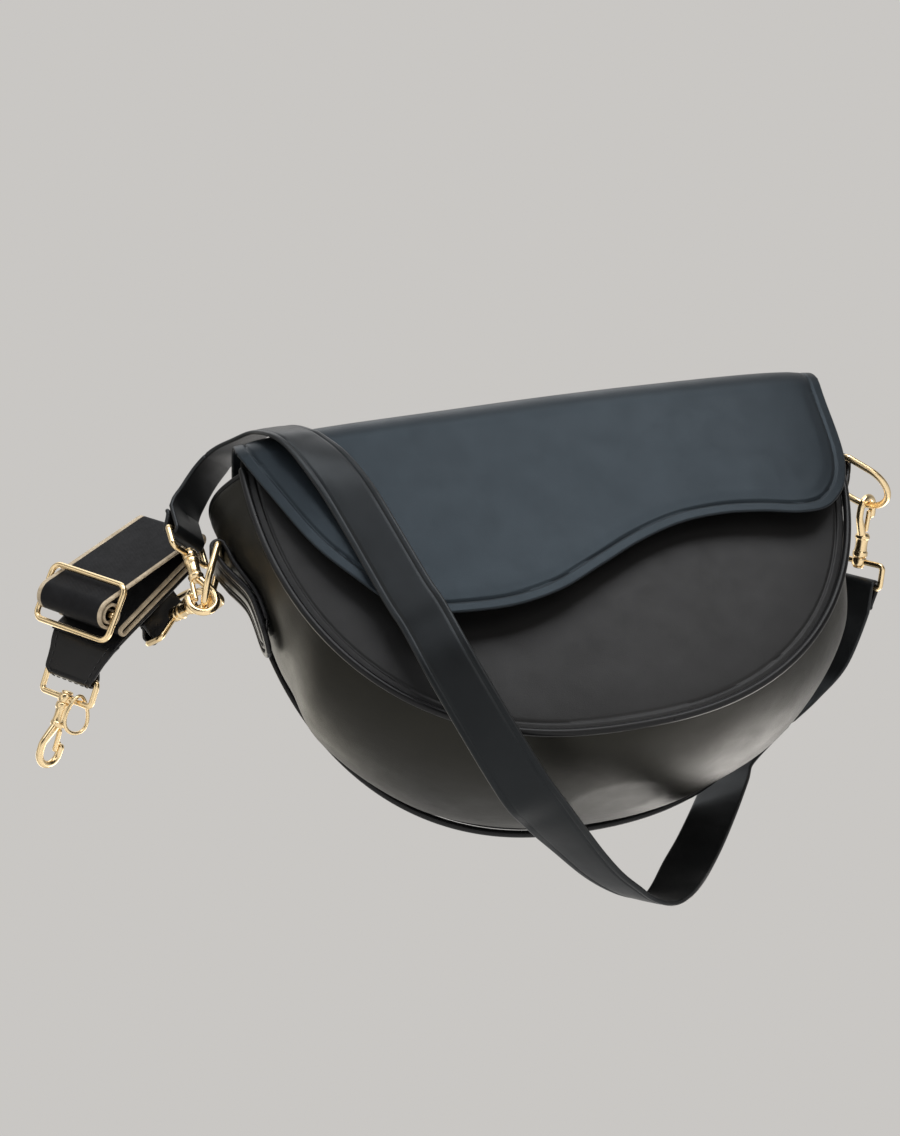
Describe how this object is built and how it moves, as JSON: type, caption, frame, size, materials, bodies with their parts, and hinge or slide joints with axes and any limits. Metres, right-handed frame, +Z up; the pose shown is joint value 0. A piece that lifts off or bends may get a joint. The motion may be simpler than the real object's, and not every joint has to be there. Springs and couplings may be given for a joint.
{
  "type": "half moon bag",
  "caption": "Half moon shoulder bag: bound panels and gusset, wave edged flap on a fold, D rings, clip-on leather strap, and a webbing strap folded on its glide.",
  "frame": {"origin": "middle of the flat patch under the gusset, midway between the panels", "axes": "+Z up, +X along the bag's width towards the end without the webbing bundle, -Y out of the flap's front"},
  "size_m": [0.3844, 0.1447, 0.2351],
  "materials": {
    "leather": "smooth black satin leather",
    "lining": "dark woven lining",
    "webbing": "black webbing with a sand edge and reverse",
    "gold": "polished light gold"
  },
  "bodies": {
    "bag": {"front_panel": "leather", "back_panel": "leather", "gusset": "leather", "lining": "lining", "front_piping": "leather", "back_piping": "leather", "left_ear_binding": "leather", "right_ear_binding": "leather", "flap_root": "leather", "left_tab": "leather", "right_tab": "leather", "snap_base": "gold", "leather_strap": "leather"},
    "flap": {"flap_skin": "leather", "flap_lining": "lining", "snap_stud": "gold"},
    "left_ring": {"left_ring": "gold"},
    "right_ring": {"right_ring": "gold"},
    "left_clip": {"left_clip_body": "gold"},
    "left_clip_gate": {"left_clip_gate": "gold"},
    "left_clip_loop": {"left_clip_loop": "gold"},
    "web_clip": {"web_clip_body": "gold"},
    "web_clip_gate": {"web_clip_gate": "gold"},
    "web_clip_loop": {"web_clip_loop": "gold"},
    "bundle": {"inner_chape": "leather", "webbing": "webbing", "glide_frame": "gold", "glide_bar": "gold", "free_chape": "leather"},
    "free_clip_loop": {"free_clip_loop": "gold"},
    "free_clip": {"free_clip_body": "gold"},
    "free_clip_gate": {"free_clip_gate": "gold"},
    "teardrop_ring": {"teardrop_ring": "gold"},
    "right_clip": {"right_clip_body": "gold"},
    "right_clip_gate": {"right_clip_gate": "gold"},
    "right_clip_loop": {"right_clip_loop": "gold"}
  },
  "joints": [
    {"name": "flap_hinge", "type": "hinge", "parent": "bag", "child": "flap", "pos_m": [0, 0.0331, 0.1573], "axis": [-1, 0, 0], "range_deg": [0, 110], "deforming": ["leather_strap"]},
    {"name": "left_ring_swing", "type": "hinge", "parent": "bag", "child": "left_ring", "pos_m": [-0.13949, 0, 0.1355], "axis": [0, 1, 0], "range_deg": [0, 15], "deforming": ["leather_strap"]},
    {"name": "right_ring_swing", "type": "hinge", "parent": "bag", "child": "right_ring", "pos_m": [0.13949, 0, 0.1355], "axis": [0, 1, 0], "range_deg": [-40, 0], "deforming": ["leather_strap"]},
    {"name": "left_clip_swing", "type": "hinge", "parent": "left_ring", "child": "left_clip", "pos_m": [-0.1492, -0.00196, 0.11263], "axis": [-0.0611, 0.9877, -0.144], "range_deg": [0, 3], "deforming": ["leather_strap"]},
    {"name": "web_clip_swing", "type": "hinge", "parent": "left_ring", "child": "web_clip", "pos_m": [-0.14455, 0.01249, 0.12359], "axis": [0.3905, 0.0349, 0.9199], "range_deg": [0, 15]},
    {"name": "right_clip_swing", "type": "hinge", "parent": "right_ring", "child": "right_clip", "pos_m": [0.15252, 0.01082, 0.12201], "axis": [-0.6016, 0.5, 0.623], "range_deg": [-20, 0], "deforming": ["leather_strap"]},
    {"name": "left_gate_hinge", "type": "hinge", "parent": "left_clip", "child": "left_clip_gate", "pos_m": [-0.15231, -0.0005, 0.12395], "axis": [0.0611, -0.9877, 0.144], "range_deg": [0, 25], "stiffness_Nm_per_rad": 0.01, "springref_deg": -17.19},
    {"name": "web_gate_hinge", "type": "hinge", "parent": "web_clip", "child": "web_clip_gate", "pos_m": [-0.14915, 0.02328, 0.12514], "axis": [-0.3905, -0.0349, -0.9199], "range_deg": [0, 25], "stiffness_Nm_per_rad": 0.01, "springref_deg": -17.19},
    {"name": "right_gate_hinge", "type": "hinge", "parent": "right_clip", "child": "right_clip_gate", "pos_m": [0.15217, 0.01988, 0.11441], "axis": [0.6016, -0.5, -0.623], "range_deg": [0, 25], "stiffness_Nm_per_rad": 0.01, "springref_deg": -17.19},
    {"name": "free_gate_hinge", "type": "hinge", "parent": "free_clip", "child": "free_clip_gate", "pos_m": [-0.21475, 0.05246, 0.09066], "axis": [-0.6411, 0.4508, 0.6211], "range_deg": [0, 25], "stiffness_Nm_per_rad": 0.01, "springref_deg": -17.19},
    {"name": "left_clip_swivel", "type": "hinge", "parent": "left_clip", "child": "left_clip_loop", "pos_m": [-0.15104, 0.00169, 0.13841], "axis": [-0.0705, 0.1396, 0.9877], "range_deg": [-10, 12], "deforming": ["leather_strap"]},
    {"name": "web_clip_swivel", "type": "hinge", "parent": "web_clip", "child": "web_clip_loop", "pos_m": [-0.15874, 0.03376, 0.12881], "axis": [-0.544, 0.8149, 0.2], "range_deg": [-10, 10]},
    {"name": "right_clip_swivel", "type": "hinge", "parent": "right_clip", "child": "right_clip_loop", "pos_m": [0.14772, 0.02837, 0.1033], "axis": [-0.1838, 0.6723, -0.7171], "range_deg": [-20, 20], "deforming": ["leather_strap"]},
    {"name": "bundle_swing", "type": "hinge", "parent": "web_clip_loop", "child": "bundle", "pos_m": [-0.16451, 0.0424, 0.13093], "axis": [0.5729, 0.1865, 0.7981], "range_deg": [-10, 0]},
    {"name": "free_loop_swing", "type": "hinge", "parent": "bundle", "child": "free_clip_loop", "pos_m": [-0.20575, 0.03882, 0.10985], "axis": [0.6411, -0.4508, -0.6211], "range_deg": [-25, 25]},
    {"name": "free_clip_swivel", "type": "hinge", "parent": "free_clip_loop", "child": "free_clip", "pos_m": [-0.21017, 0.04384, 0.10164], "axis": [0.4175, -0.4741, 0.7751], "continuous": true},
    {"name": "teardrop_swing", "type": "hinge", "parent": "free_clip_loop", "child": "teardrop_ring", "pos_m": [-0.20498, 0.04019, 0.0966], "axis": [0.6411, -0.4508, -0.6211], "range_deg": [-12, 12]}
  ]
}
